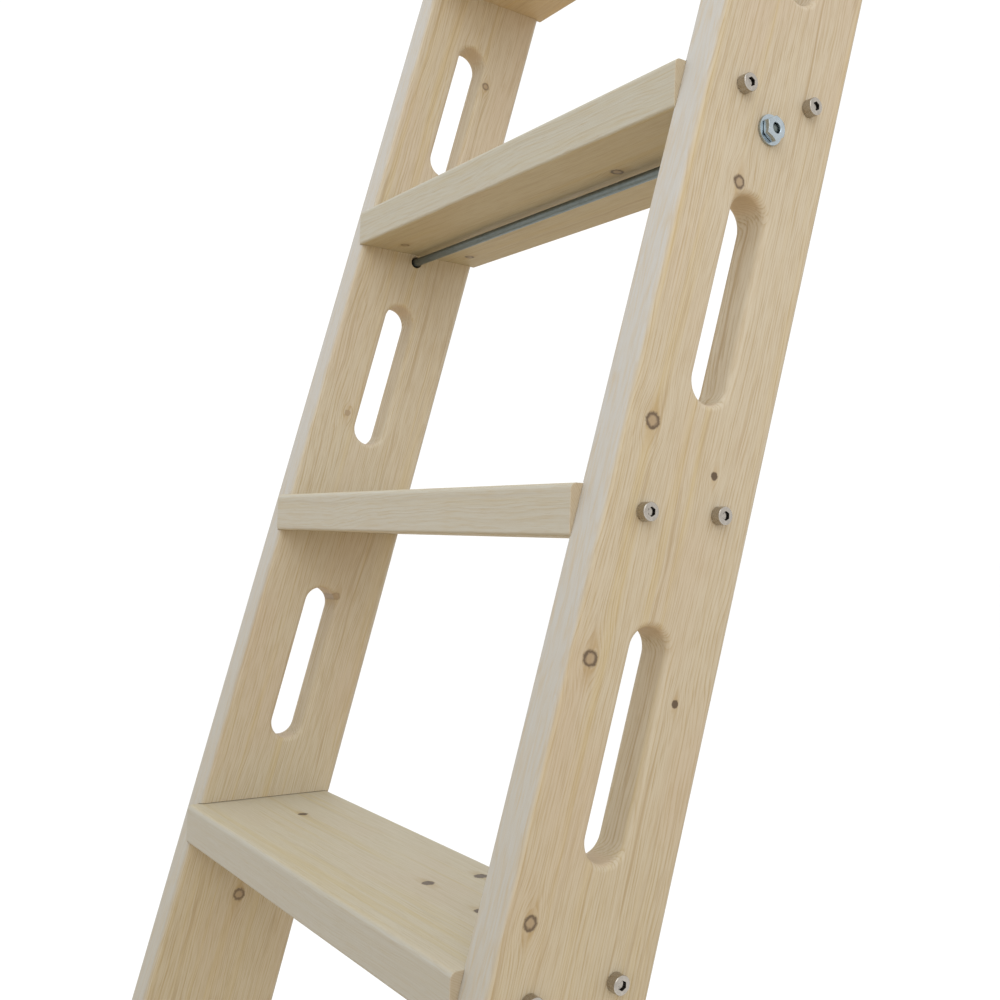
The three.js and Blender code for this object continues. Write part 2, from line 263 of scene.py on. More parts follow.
def knot_group():
    """Group: how a knot through the board bends the grain round it, and where its core and rim show.
    A knot with a bark of 1 is dead and dark right through."""
    tree = bpy.data.node_groups.new("knot", "ShaderNodeTree")
    interface = tree.interface
    interface.new_socket("Position", in_out="INPUT", socket_type="NodeSocketVector")
    interface.new_socket("Centre", in_out="INPUT", socket_type="NodeSocketVector")
    interface.new_socket("Radius", in_out="INPUT", socket_type="NodeSocketFloat")
    interface.new_socket("Bark", in_out="INPUT", socket_type="NodeSocketFloat")
    interface.new_socket("Bend", in_out="OUTPUT", socket_type="NodeSocketFloat")
    interface.new_socket("Core", in_out="OUTPUT", socket_type="NodeSocketFloat")
    interface.new_socket("Rim", in_out="OUTPUT", socket_type="NodeSocketFloat")
    interface.new_socket("Halo", in_out="OUTPUT", socket_type="NodeSocketFloat")
    graph = Graph(tree)
    given = graph.node("NodeGroupInput").outputs
    offset = graph.vector("SUBTRACT", given["Position"], given["Centre"])
    along, across, _ = graph.split(offset)
    along = graph.math("DIVIDE", along, given["Radius"])
    across = graph.math("DIVIDE", across, given["Radius"])

    reach_along = graph.math("MULTIPLY", along, 0.27)
    reach_across = graph.math("MULTIPLY", across, 0.50)
    reach = graph.vector("LENGTH", graph.join(reach_along, reach_across, 0))
    falloff = graph.math("EXPONENT", graph.math("MULTIPLY", graph.math("MULTIPLY", reach, reach), -1.0))
    bend = graph.math("MULTIPLY", graph.math("MULTIPLY", across, falloff), given["Radius"])

    ragged = graph.noise(given["Position"], 380.0, 2.0).outputs[0]
    oval = graph.vector("LENGTH", graph.join(along, across, 0))
    distance = graph.math("ADD", oval, graph.math("MULTIPLY", graph.math("SUBTRACT", ragged, 0.5), 0.55))
    core = graph.ramp(distance, 1.05, 0.85)
    rim_out = graph.ramp(distance, 1.28, 0.86)
    rim_in = graph.ramp(distance, 0.40, 0.84)
    rim_in = graph.math("MAXIMUM", rim_in, graph.ramp(given["Bark"], 0.95, 1.0))
    rim = graph.math("MULTIPLY", graph.math("MULTIPLY", rim_out, rim_in), given["Bark"])
    tail = graph.join(graph.math("MULTIPLY", along, 0.30), graph.math("MULTIPLY", across, 0.95), 0)
    tail_reach = graph.math("ADD", graph.vector("LENGTH", tail), graph.math("MULTIPLY", ragged, 0.5))
    halo = graph.ramp(tail_reach, 1.75, 0.45)

    result = graph.node("NodeGroupOutput")
    for name, value in {"Bend": bend, "Core": core, "Rim": rim, "Halo": halo}.items():
        graph.feed(result.inputs[name], value)
    return tree


KNOT = knot_group()


def grain_warp(graph, place, seed):
    """Slow wander of the grain, a few millimetres sideways in a quarter of a metre of board."""
    stretched = graph.vector("MULTIPLY", place, (3.6, 13.0, 13.0))
    shifted = graph.vector("ADD", stretched, (seed * 3.7, seed * 1.9, seed * 5.3))
    wander = graph.noise(shifted, 1.0, 3.0, 0.55).outputs["Color"]
    centred = graph.vector("SUBTRACT", wander, (0.5, 0.5, 0.5))
    return graph.vector("MULTIPLY", centred, (0.0, 0.020, 0.020))


def gather_knots(graph, place, knots):
    """How a board's knots together bend its grain, and where their cores, rims and halos show."""
    bend, core, rim, halo = 0.0, 0.0, 0.0, 0.0
    for knot_along, knot_across, radius, bark in knots:
        centre = (knot_along * MM, knot_across * MM, 0)
        group = graph.node("ShaderNodeGroup", node_tree=KNOT)
        given = {"Position": place, "Centre": centre, "Radius": radius * MM, "Bark": bark}
        for label, value in given.items():
            graph.feed(group.inputs[label], value)
        bend = graph.math("ADD", bend, group.outputs["Bend"])
        core = graph.math("MAXIMUM", core, group.outputs["Core"])
        rim = graph.math("MAXIMUM", rim, group.outputs["Rim"])
        halo = graph.math("MAXIMUM", halo, group.outputs["Halo"])
    return bend, core, rim, halo


def growth_rings(graph, position, warp, bend, pith, spacing, seed):
    """Late wood's strength, which climbs through each year and drops sharply at its end.
    position is (along, across, through), and the knots' bend pushes the rings aside."""
    along, across, through = position
    _, warp_across, warp_through = graph.split(warp)
    pith_across, pith_through, slope = pith
    ring_across = graph.math("SUBTRACT", graph.math("ADD", across, warp_across), pith_across * MM)
    ring_across = graph.math("SUBTRACT", ring_across, graph.math("MULTIPLY", bend, 1.25))
    tilt = graph.math("MULTIPLY", along, slope)
    ring_through = graph.math("SUBTRACT", graph.math("ADD", through, warp_through), pith_through * MM)
    ring_through = graph.math("SUBTRACT", ring_through, tilt)
    radius = graph.vector("LENGTH", graph.join(0, ring_across, ring_through))
    years = graph.math("DIVIDE", radius, spacing)
    uneven_place = graph.join(graph.math("MULTIPLY", years, 0.45), seed * 2.1, 0)
    uneven = graph.noise(uneven_place, 1.0, 1.0).outputs[0]
    years = graph.math("ADD", years, graph.math("MULTIPLY", uneven, 1.8))
    season = graph.math("FRACT", years)
    rising = graph.ramp(season, 0.25, 0.93)
    falling = graph.ramp(season, 1.0, 0.95)
    ring = graph.math("MULTIPLY", graph.math("MULTIPLY", rising, rising), falling)
    year = graph.math("FLOOR", years)
    year_tone = graph.node("ShaderNodeTexWhiteNoise", {"W": year}, noise_dimensions="1D").outputs["Value"]
    return graph.math("MULTIPLY", ring, graph.math("MULTIPLY_ADD", year_tone, 0.7, 0.45))


def stretched_noise(graph, place, scale, detail, roughness=0.5, shift=None):
    """Noise drawn out along the grain: scale is its frequency along, across and through the board."""
    stretched = graph.vector("MULTIPLY", place, scale)
    if shift is not None:
        stretched = graph.vector("ADD", stretched, shift)
    return graph.noise(stretched, 1.0, detail, roughness).outputs[0]


def pine(name, seed, pith, knots, width, spacing, tone, contrast, edge_sap_and_light, painted_foot_shade):
    """Solid pine in board coordinates. pith is (across, through, slope): the line the rings close round,
    and how much it rises through the board per metre. A knot is (along, across, radius, bark).
    width is the board's, tone tints all of it, contrast is the rings' strength; the next argument is how
    pale its long edge faces are, part sapwood and part painted light, and the last is the painted shade
    that darkens its lower end."""
    material, graph, shader = new_material(name)
    coordinates = graph.node("ShaderNodeTexCoord").outputs
    place = coordinates["Object"]
    position = graph.split(place)
    along, across, _ = position
    face = graph.vector("ABSOLUTE", coordinates["Normal"])
    end_face, edge_face, _ = graph.split(face)

    bend, core, rim, halo = gather_knots(graph, place, knots)
    warp = grain_warp(graph, place, seed)
    ring = growth_rings(graph, position, warp, bend, pith, spacing, seed)

    warped = graph.vector("ADD", place, warp)
    fleck = stretched_noise(graph, warped, (38.0, 520.0, 520.0), 2.0, 0.6)
    fibre = stretched_noise(graph, place, (9.0, 900.0, 900.0), 3.0, 0.65)
    streak = stretched_noise(graph, place, (2.2, 95.0, 95.0), 3.0, 0.6, (seed, seed, 0))
    cloud = stretched_noise(graph, place, (5.0, 13.0, 13.0), 2.0)
    canal = graph.ramp(stretched_noise(graph, place, (60.0, 1500.0, 1500.0), 0.0), 0.70, 0.80)
    vein = stretched_noise(graph, warped, (1.6, 210.0, 210.0), 2.0, 0.55, (seed, 0, seed))

    # Rings, then the slow changes of tone along the board.
    broken = graph.ramp(fleck, 0.30, 0.66, 0.40, 1.40)
    broken_ring = graph.math("MULTIPLY", ring, broken)
    colour = graph.mix(graph.math("MULTIPLY", broken_ring, contrast), EARLYWOOD, LATEWOOD)
    colour = graph.mix(graph.ramp(cloud, 0.50, 0.74, 0.0, 0.30), colour, HEARTWOOD)
    colour = graph.mix(graph.ramp(streak, 0.50, 0.76, 0.0, 0.42), colour, RESIN)
    colour = graph.mix(graph.ramp(vein, 0.58, 0.74, 0.0, contrast * 0.75), colour, DARK_STREAK)

    # Pale sapwood on the two long edges, with faint rings over it, and painted light: only the narrow edge
    # faces get the pale grey, for the cooler light they catch.
    near_edge = graph.ramp(across, 9 * MM, 1 * MM)
    far_edge = graph.ramp(across, width - 9 * MM, width)
    outer_edge = graph.math("MAXIMUM", near_edge, far_edge)
    sap_and_light_factor = graph.math("MULTIPLY", graph.ramp(edge_face, 0.20, 0.95, 0.0, edge_sap_and_light), outer_edge)
    colour = graph.mix(sap_and_light_factor, colour, SAPWOOD_AND_PAINTED_EDGE_LIGHT)
    faint_ring = graph.math("MULTIPLY", broken_ring, 0.16)
    colour = graph.mix(graph.math("MULTIPLY", faint_ring, edge_face), colour, LATEWOOD)

    # Short flecks, fibres and resin canals, then the end grain.
    colour = graph.mix(graph.ramp(fleck, 0.42, 0.72, 0.0, contrast * 0.5), colour, LATEWOOD)
    colour = graph.mix(graph.ramp(fibre, 0.30, 0.75, 0.0, 0.16), colour, LATEWOOD)
    colour = graph.mix(graph.math("MULTIPLY", canal, 0.30), colour, LATEWOOD)
    end_rings = graph.mix(graph.math("MULTIPLY", ring, 0.60), END_GRAIN, END_RING)
    colour = graph.mix(graph.ramp(end_face, 0.55, 0.90, 0.0, 0.75), colour, end_rings)

    knot_rings = graph.math("MULTIPLY", graph.math("SINE", graph.math("MULTIPLY", bend, 9000.0)), 0.12)
    core_tone = graph.math("MULTIPLY", core, graph.math("ADD", knot_rings, 0.68))
    colour = graph.mix(graph.math("MULTIPLY", halo, 0.50), colour, KNOT_HALO)
    colour = graph.mix(core_tone, colour, KNOT_CORE)
    colour = graph.mix(rim, colour, KNOT_BARK)
    # Painted shade: the board's lower end is darkened and warmed for the weaker light near the floor.
    shade = graph.mix(graph.ramp(along, 0.75, 1.45), painted_foot_shade, PLAIN)
    toned = graph.vector("MULTIPLY", colour, tone)
    graph.feed(shader.inputs["Base Color"], graph.vector("MULTIPLY", toned, shade))

    rough = graph.ramp(fibre, 0.25, 0.75, 0.52, 0.70)
    rough = graph.math("SUBTRACT", rough, graph.math("MULTIPLY", core, 0.14))
    graph.feed(shader.inputs["Roughness"], rough)
    shader.inputs["Specular IOR Level"].default_value = 0.35

    relief = graph.math("ADD", graph.math("MULTIPLY", fibre, 0.45), graph.math("MULTIPLY", ring, 0.40))
    relief = graph.math("SUBTRACT", relief, graph.math("MULTIPLY", rim, 0.8))
    relief = graph.math("SUBTRACT", relief, graph.math("MULTIPLY", canal, 0.5))
    graph.feed(shader.inputs["Normal"], bump(graph, relief, 0.20 * MM, 0.6))
    return material


# ------------------------------------------------------------------ metals and rubber

def lighter(colour, factor, lift=0.0):
    """A paler version of a colour."""
    return tuple(min(1, part * factor + lift) for part in colour[:3]) + (1,)


def metal(name, colour, dark, roughness, grain=(600.0, 600.0, 600.0)):
    """A worked metal: fine tool marks, blotches in its tone and a varying polish."""
    material, graph, shader = new_material(name)
    place = graph.node("ShaderNodeTexCoord").outputs["Object"]
    marks = graph.noise(graph.vector("MULTIPLY", place, grain), 1.0, 3.0, 0.6).outputs[0]
    patches = graph.noise(place, 180.0, 3.0, 0.55).outputs[0]
    worn = graph.node("ShaderNodeNewGeometry").outputs["Pointiness"]
    tone = graph.mix(graph.ramp(patches, 0.35, 0.75, 0.0, 0.6), colour, dark)
    tone = graph.mix(graph.ramp(worn, 0.50, 0.58, 0.0, 0.5), tone, lighter(colour, 1.25))
    graph.feed(shader.inputs["Base Color"], tone)
    graph.feed(shader.inputs["Roughness"], graph.ramp(marks, 0.2, 0.8, roughness * 0.75, roughness * 1.3))
    shader.inputs["Metallic"].default_value = 1.0
    graph.feed(shader.inputs["Normal"], bump(graph, marks, 0.03 * MM, 0.5))
    return material


def powder_coat(name, colour):
    """Matt powder-coated steel with its fine orange-peel skin and paler rubbed edges."""
    material, graph, shader = new_material(name)
    place = graph.node("ShaderNodeTexCoord").outputs["Object"]
    peel = graph.noise(place, 1400.0, 2.0).outputs[0]
    dust = graph.noise(place, 60.0, 4.0, 0.6).outputs[0]
    worn = graph.node("ShaderNodeNewGeometry").outputs["Pointiness"]
    paler = lighter(colour, 2.6)
    tone = graph.mix(graph.ramp(dust, 0.40, 0.80, 0.0, 0.35), colour, paler)
    tone = graph.mix(graph.ramp(worn, 0.52, 0.62, 0.0, 0.5), tone, paler)
    graph.feed(shader.inputs["Base Color"], tone)
    graph.feed(shader.inputs["Roughness"], graph.ramp(dust, 0.3, 0.8, 0.42, 0.60))
    shader.inputs["Metallic"].default_value = 0.3
    graph.feed(shader.inputs["Normal"], bump(graph, peel, 0.05 * MM, 0.5))
    return material


def rubber(name, colour):
    """Moulded rubber with a fine grain and dusty patches."""
    material, graph, shader = new_material(name)
    place = graph.node("ShaderNodeTexCoord").outputs["Object"]
    grain = graph.noise(place, 900.0, 3.0).outputs[0]
    dust = graph.noise(place, 90.0, 4.0, 0.6).outputs[0]
    dusty = graph.ramp(dust, 0.40, 0.75, 0.0, 0.6)
    tone = graph.mix(dusty, colour, lighter(colour, 1.8, 0.02))
    graph.feed(shader.inputs["Base Color"], tone)
    graph.feed(shader.inputs["Roughness"], graph.ramp(dust, 0.3, 0.8, 0.70, 0.86))
    graph.feed(shader.inputs["Normal"], bump(graph, grain, 0.08 * MM, 0.6))
    return material


STAINLESS = metal("stainless_steel", (0.42, 0.385, 0.34, 1), (0.32, 0.29, 0.255, 1), 0.24)
# Painted shade: near-black stainless for the socket walls, where shadow falls in the recess.
PAINTED_SOCKET_SHADE = metal("stainless_painted_socket_shade", (0.075, 0.068, 0.060, 1), (0.040, 0.037, 0.034, 1), 0.38)
ZINC = metal("zinc_plate", (0.40, 0.45, 0.48, 1), (0.28, 0.33, 0.36, 1), 0.24)
# Part painted shade: the rod's zinc is darker than the nuts' and washers', part a duller plating and part
# the tread shadow it reflects.
DULL_ROD_ZINC_AND_PAINTED_SHADE = metal(
    "dull_zinc_rod_and_painted_shade", (0.165, 0.185, 0.175, 1), (0.10, 0.12, 0.115, 1), 0.50, grain=(40.0, 1800.0, 1800.0)
)
COATED = powder_coat("hook_coating", (0.030, 0.031, 0.033, 1))
RUBBER = rubber("foot_rubber", (0.018, 0.018, 0.019, 1))


# ------------------------------------------------------------------ mesh helpers

def finish_mesh(piece):
    """Smooth shading over curves, hard edges where faces meet sharply, flat faces kept flat."""
    mesh = piece.data
    mesh.polygons.foreach_set("use_smooth", [True] * len(mesh.polygons))
    mesh.set_sharp_from_angle(angle=SHARP_ANGLE)
    weighted = piece.modifiers.new("weighted", "WEIGHTED_NORMAL")
    weighted.keep_sharp = True
    weighted.weight = 100


def object_from(bm, name, matrix=None):
    """Turns a finished bmesh into an object in the scene."""
    bmesh.ops.remove_doubles(bm, verts=bm.verts, dist=1e-7)
    bmesh.ops.recalc_face_normals(bm, faces=bm.faces)
    mesh = bpy.data.meshes.new(name)
    bm.to_mesh(mesh)
    bm.free()
    piece = bpy.data.objects.new(name, mesh)
    bpy.context.scene.collection.objects.link(piece)
    if matrix is not None:
        piece.matrix_world = matrix
    return piece


def bridge(bm, rings, close_ends=True):
    """Skins a list of vertex rings that all have the same number of points."""
    for lower, upper in zip(rings, rings[1:]):
        count = len(lower)
        for index in range(count):
            after = (index + 1) % count
            bm.faces.new((lower[index], lower[after], upper[after], upper[index]))
    if close_ends:
        bm.faces.new(list(reversed(rings[0])))
        bm.faces.new(rings[-1])


def cut(piece, cutter):
    """Takes the cutter's volume out of the piece and deletes the cutter."""
    bpy.context.view_layer.update()
    boolean = piece.modifiers.new("cut", "BOOLEAN")
    boolean.operation = "DIFFERENCE"
    boolean.solver = "EXACT"
    boolean.object = cutter
    shaped = piece.evaluated_get(bpy.context.evaluated_depsgraph_get())
    mesh = bpy.data.meshes.new_from_object(shaped)
    piece.modifiers.clear()
    piece.data = mesh
    bpy.data.objects.remove(cutter)


def add_box(bm, low, high):
    low, high = Vector(low), Vector(high)
    matrix = Matrix.Translation((low + high) / 2) @ Matrix.Diagonal((*(high - low), 1))
    bmesh.ops.create_cube(bm, size=1, matrix=matrix)


def add_cylinder(bm, start, end, radius):
    axis = Vector(end) - Vector(start)
    turn = axis.to_track_quat("Z", "Y").to_matrix().to_4x4()
    matrix = Matrix.Translation((Vector(start) + Vector(end)) / 2) @ turn
    bmesh.ops.create_cone(
        bm, cap_ends=True, segments=ROUND, radius1=radius, radius2=radius,
        depth=axis.length, matrix=matrix,
    )


def turned_rings(bm, profile, steps=ROUND):
    """Rings about the X axis. A profile point is (x, radius) or (x, function of the angle)."""
    rings = []
    for x, radius in profile:
        ring = []
        for step in range(steps):
            angle = 2 * math.pi * step / steps
            reach = radius(angle) if callable(radius) else radius
            ring.append(bm.verts.new((x, reach * math.cos(angle), reach * math.sin(angle))))
        rings.append(ring)
    return rings


def hexagon(across_flats):
    """Radius of a regular hexagon as a function of the angle, two corners straight up and down."""
    sector = math.pi / 3

    def radius(angle):
        return across_flats / 2 / math.cos((angle + sector / 2) % sector - sector / 2)

    return radius


def arc(centre, radius, start, end, steps):
    """Points on an arc in a plane, angles in degrees."""
    points = []
    for step in range(steps + 1):
        angle = math.radians(start + (end - start) * step / steps)
        points.append((centre[0] + radius * math.cos(angle), centre[1] + radius * math.sin(angle)))
    return points


def rounded_rectangle(size_x, size_y, corner, inset, steps):
    """The outline of a round-cornered rectangle, drawn this far inside its full size."""
    x = size_x / 2 - corner
    y = size_y / 2 - corner
    points = []
    for quarter, centre in enumerate([(x, y), (-x, y), (-x, -y), (x, -y)]):
        points += arc(centre, corner - inset, 90 * quarter, 90 * (quarter + 1), steps)
    return points


def hand_in(piece, slot, *nodes):
    """The piece rides on the ladder's one body and stands for its CAD nodes."""
    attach(piece, "root")
    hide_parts(*nodes)


def complete(piece, material, slot, *nodes):
    """Gives a piece its one material and its shading, then puts it on the ladder's body in place of its CAD
    nodes.
    """
    piece.data.materials.clear()
    piece.data.materials.append(material)
    finish_mesh(piece)
    hand_in(piece, slot, *nodes)


# ------------------------------------------------------------------ stiles

STILE_TOP = max(
    (vertex.co - Vector((0, FOOT_DEPTH, 0))).dot(ALONG)
    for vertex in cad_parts["stile_right"].data.vertices
)
# The board starts below the floor, and the foot is then cut level.
STILE_START = -60 * MM
STILE_FOOT_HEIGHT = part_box("stile_right")[0].z


def slot_middles():
    """Where the hand slots are along a stile: halfway between neighbouring treads."""
    middles = []
    for number in range(FIRST_SLOTTED_TREAD, TREADS[-1]):
        height = (middle_of(f"tread_{number}").z + middle_of(f"tread_{number + 1}").z) / 2
        middles.append((height + STILE_WIDTH / 2 * math.sin(LEAN)) / math.cos(LEAN))
    return middles


def stile_outline(inset):
    corner = STILE_TOP_CORNER_RADIUS - inset
    rear = STILE_WIDTH - STILE_TOP_CORNER_RADIUS
    front = STILE_TOP_CORNER_RADIUS
    shoulder = STILE_TOP - STILE_TOP_CORNER_RADIUS
    points = [(inset, STILE_START), (STILE_WIDTH - inset, STILE_START)]
    points += arc((rear, shoulder), corner, 0, 90, 12)
    points += arc((front, shoulder), corner, 90, 180, 12)
    return [(along, across) for across, along in points]


def slot_outline(middle, inset):
    radius = SLOT_WIDTH / 2 + inset
    half = SLOT_LENGTH / 2 - SLOT_WIDTH / 2
    points = arc((STILE_WIDTH / 2, middle + half), radius, 0, 180, 20)
    points += arc((STILE_WIDTH / 2, middle - half), radius, 180, 360, 20)
    return [(along, across) for across, along in points]


def fillet_levels(thickness, radius):
    """Insets and heights of the rings that round a board's edges, from one face to the other."""
    levels = []
    for step in range(FILLET_STEPS + 1):
        angle = math.pi / 2 * step / FILLET_STEPS
        levels.append((radius * (1 - math.sin(angle)), radius * (1 - math.cos(angle)) - thickness / 2))
    return levels + [(inset, -height) for inset, height in reversed(levels)]


def stile_blank(name, matrix):
    """The stile before its cuts: a board with rounded edges and rounded hand slots."""
    bm = bmesh.new()
    levels = fillet_levels(STILE_THICKNESS, STILE_EDGE_RADIUS)
    makers = [stile_outline] + [lambda inset, at=at: slot_outline(at, inset) for at in slot_middles()]
    faces = {0: [], len(levels) - 1: []}
    for maker in makers:
        rings = []
        for inset, height in levels:
            rings.append([bm.verts.new((x, y, height)) for x, y in maker(inset)])
        bridge(bm, rings, close_ends=False)
        for level in faces:
            faces[level].append(rings[level])
    for rings in faces.values():
        flat = [vertex for ring in rings for vertex in ring]
        loops = [[vertex.co for vertex in ring] for ring in rings]
        for triangle in tessellate_polygon(loops):
            bm.faces.new([flat[index] for index in triangle])
    return object_from(bm, name, matrix)


def housing_cutter(side, name):
    """What is taken off a stile to level its foot on the pad and to groove it for the treads."""
    bm = bmesh.new()
    far = PAST_LADDER
    add_box(bm, (-far, -far, -far), (far, far, STILE_FOOT_HEIGHT))
    for number in TREADS:
        low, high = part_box(f"tread_{number}")
        reach = sorted((side * (INNER_FACE - 2 * PAST_FACE), side * (INNER_FACE + HOUSING_DEPTH)))
        add_box(
            bm,
            (reach[0], low.y - PAST_BOARD, low.z - HOUSING_PLAY_BELOW),
            (reach[1], high.y + PAST_BOARD, high.z + HOUSING_PLAY_ABOVE),
        )
    return object_from(bm, f"{name}_housings")


def hole_cutter(side_name, name):
    """The holes through a stile for its cap screws and tie rods, and for its foot's and hook's screws."""
    side = SIDES[side_name]
    bm = bmesh.new()
    inwards = Vector((side * (INNER_FACE - PAST_FACE), 0, 0))
    outwards = Vector((side * (OUTER_FACE + PAST_FACE), 0, 0))

    def bore_through(centre, diameter):
        across = Vector((0, centre.y, centre.z))
        add_cylinder(bm, inwards + across, outwards + across, diameter / 2)

    for number in TREADS:
        for depth in DEPTHS:
            bore_through(middle_of(f"cap_screw_{number}_{side_name}_{depth}"), SCREW_HOLE)
    for level in LEVELS:
        bore_through(middle_of(f"tie_rod_{level}"), ROD_HOLE)
    for depth in DEPTHS:
        low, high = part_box(f"foot_screw_{side_name}_{depth}")
        centre = (low + high) / 2
        top = Vector((centre.x, centre.y, high.z + PAST_SCREW))
        bottom = Vector((centre.x, centre.y, low.z))
        add_cylinder(bm, bottom, top, FOOT_SCREW_HOLE / 2)
    for level in LEVELS:
        centre = middle_of(f"hook_screw_{side_name}_{level}")
        half = ACROSS * 26 * MM
        add_cylinder(bm, centre - half, centre + half, HOOK_SCREW_HOLE / 2)
    return object_from(bm, f"{name}_holes")


def build_stile(side_name, material):
    side = SIDES[side_name]
    name = f"board_stile_{side_name}"
    piece = stile_blank(name, stile_frame(side))
    cut(piece, housing_cutter(side, name))
    cut(piece, hole_cutter(side_name, name))
    complete(piece, material, "stile_pine", f"stile_{side_name}")


# ------------------------------------------------------------------ treads

def tread_section(inset):
    """The end view of a tread in (depth, height), its corners rounded as the real board's are."""
    front = TREAD_FRONT_RADIUS
    under = TREAD_UNDER_RADIUS
    rear = TREAD_REAR_RADIUS
    half = TREAD_THICKNESS / 2
    points = arc((under, under - half), under - inset, 180, 270, 8)
    points += arc((TREAD_DEPTH - rear, rear - half), rear - inset, 270, 360, 4)
    points += arc((TREAD_DEPTH - rear, half - rear), rear - inset, 0, 90, 4)
    points += arc((front, half - front), front - inset, 90, 180, 8)
    return points


def build_tread(number, material):
    name = f"board_tread_{number}"
    half = TREAD_LENGTH / 2
    stations = [(-half, END_EASE), (END_EASE - half, 0), (half - END_EASE, 0), (half, END_EASE)]
    bm = bmesh.new()
    rings = []
    for x, inset in stations:
        rings.append([bm.verts.new((x, y, z)) for y, z in tread_section(inset)])
    bridge(bm, rings)
    piece = object_from(bm, name, tread_frame(number))
    bores = bmesh.new()
    for side_name, side in SIDES.items():
        for depth in DEPTHS:
            low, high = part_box(f"cap_screw_{number}_{side_name}_{depth}")
            centre = (low + high) / 2
            inner_end = low.x if side > 0 else high.x
            start = Vector((inner_end - side * PAST_SCREW, centre.y, centre.z))
            end = Vector((side * OUTER_FACE, centre.y, centre.z))
            add_cylinder(bores, start, end, SCREW_HOLE / 2)
    cut(piece, object_from(bores, f"{name}_bores"))
    complete(piece, material, "tread_pine", f"tread_{number}")


# ------------------------------------------------------------------ fasteners

def fastener_frame(seat, outward):
    """A frame at the fastener's seat with X pointing out of the surface it is driven into."""
    turn = Vector(outward).to_track_quat("X", "Z").to_matrix().to_4x4()
    return Matrix.Translation(seat) @ turn


def seat_of(node, side, head_height):
    """The point where a sideways fastener's head bears, from its CAD box."""
    low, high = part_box(node)
    centre = (low + high) / 2
    tip = high.x if side > 0 else low.x
    return Vector((tip - side * head_height, centre.y, centre.z))


def socket_profile(key, top, depth, entry):
    """Rings of a hexagon socket from its chamfered mouth down to its drill point."""
    corner = key / 2 / math.cos(math.pi / 6)
    return [
        (top, corner + entry),
        (top - entry, hexagon(key)),
        (top - depth, hexagon(key)),
        (top - depth, key / 2 * 0.96),
        (top - depth - key * 0.22, key * 0.04),
    ]


def shank_profile(length, radius):
    """A shank's outline from its tip, with a rolled thread as fine steps over its further half."""
    profile = [(-length, radius * 0.55), (-length + 1.2 * MM, radius * 0.97)]
    x = -length + 1.6 * MM
    while x < -length * 0.45:
        profile.append((x, radius))
        profile.append((x + THREAD_PITCH / 2, radius - THREAD_DEPTH / 2))
        x += THREAD_PITCH
    profile.append((x, radius))
    return profile


def paint_socket_shade(piece, top):
    """Painted shade: the socket's walls get a near-black colour for the shadow in the recess. Its floor
    stays bright.
    """
    piece.data.materials.append(PAINTED_SOCKET_SHADE)
    for face in piece.data.polygons:
        x, y, z = face.center
        wall = math.hypot(y, z) < SOCKET_REACH and abs(face.normal.x) < 0.2
        if wall and top - SOCKET_DEPTH < x < top:
            face.material_index = 1


def build_cap_screw(node, side):
    length = size_of(node).x - SCREW_HEAD_HEIGHT
    head = SCREW_HEAD / 2
    top = SCREW_HEAD_HEIGHT
    profile = shank_profile(length, SCREW_SHANK / 2)
    profile += [(0, SCREW_SHANK / 2), (0, head - 0.25 * MM), (0.25 * MM, head)]
    shoulder = SCREW_HEAD_SHOULDER
    profile += arc((top - shoulder, head - shoulder), shoulder, 90, 0, 6)
    profile += socket_profile(SCREW_KEY, top, SOCKET_DEPTH, 0.15 * MM)
    bm = bmesh.new()
    bridge(bm, turned_rings(bm, profile))
    piece = object_from(bm, f"{node}_part", fastener_frame(seat_of(node, side, top), (side, 0, 0)))
    piece.data.materials.append(STAINLESS)
    # Painted shade on the socket walls.
    paint_socket_shade(piece, top)
    finish_mesh(piece)
    hand_in(piece, "stainless_steel", node)


def build_round_head_screw(node, outward, head_height, head, shank):
    """A domed screw with a hexagon socket, its head pointing outward. head and shank are radii."""
    low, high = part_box(node)
    centre = (low + high) / 2
    direction = Vector(outward).normalized()
    points = [vertex.co.dot(direction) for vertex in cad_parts[node].data.vertices]
    seat = centre + direction * (max(points) - head_height - centre.dot(direction))
    length = max(points) - min(points) - head_height
    dome = [
        (head_height * math.sin(math.radians(angle)), head * (0.35 + 0.65 * math.cos(math.radians(angle))))
        for angle in range(10, 91, 10)
    ]
    profile = shank_profile(length, shank)
    profile += [(0, shank), (0, head - 0.1 * MM)] + dome
    profile += socket_profile(head * 0.62, head_height, head_height * 0.55, 0.1 * MM)
    bm = bmesh.new()
    bridge(bm, turned_rings(bm, profile))
    piece = object_from(bm, f"{node}_part", fastener_frame(seat, direction))
    complete(piece, STAINLESS, "stainless_steel", node)


# ------------------------------------------------------------------ tie rods

def build_tie_rod(level):
    node = f"tie_rod_{level}"
    low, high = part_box(node)
    half = (high.x - low.x) / 2
    radius = (high.z - low.z) / 2
    threaded = ROD_THREAD_LENGTH
    chamfer = ROD_CHAMFER
    stations = []
    x = -half + chamfer
    while x < -half + threaded:
        stations.append(x)
        x += THREAD_PITCH / 6
    bm = bmesh.new()

    def thread(at):
        def reach(angle):
            phase = (at / THREAD_PITCH + angle / (2 * math.pi)) % 1
            return radius - THREAD_DEPTH * (1 - abs(2 * phase - 1))
        return reach

    profile = [(-half, radius - 2 * chamfer)] + [(x, thread(x)) for x in stations]
    profile += [(-half + threaded + 0.5 * MM, radius), (half - threaded - 0.5 * MM, radius)]
    profile += [(-x, thread(-x)) for x in reversed(stations)] + [(half, radius - 2 * chamfer)]
    bridge(bm, turned_rings(bm, profile, 36))
    piece = object_from(bm, f"{node}_part", Matrix.Translation((low + high) / 2))
    complete(piece, DULL_ROD_ZINC_AND_PAINTED_SHADE, "zinc_plated_steel", node)


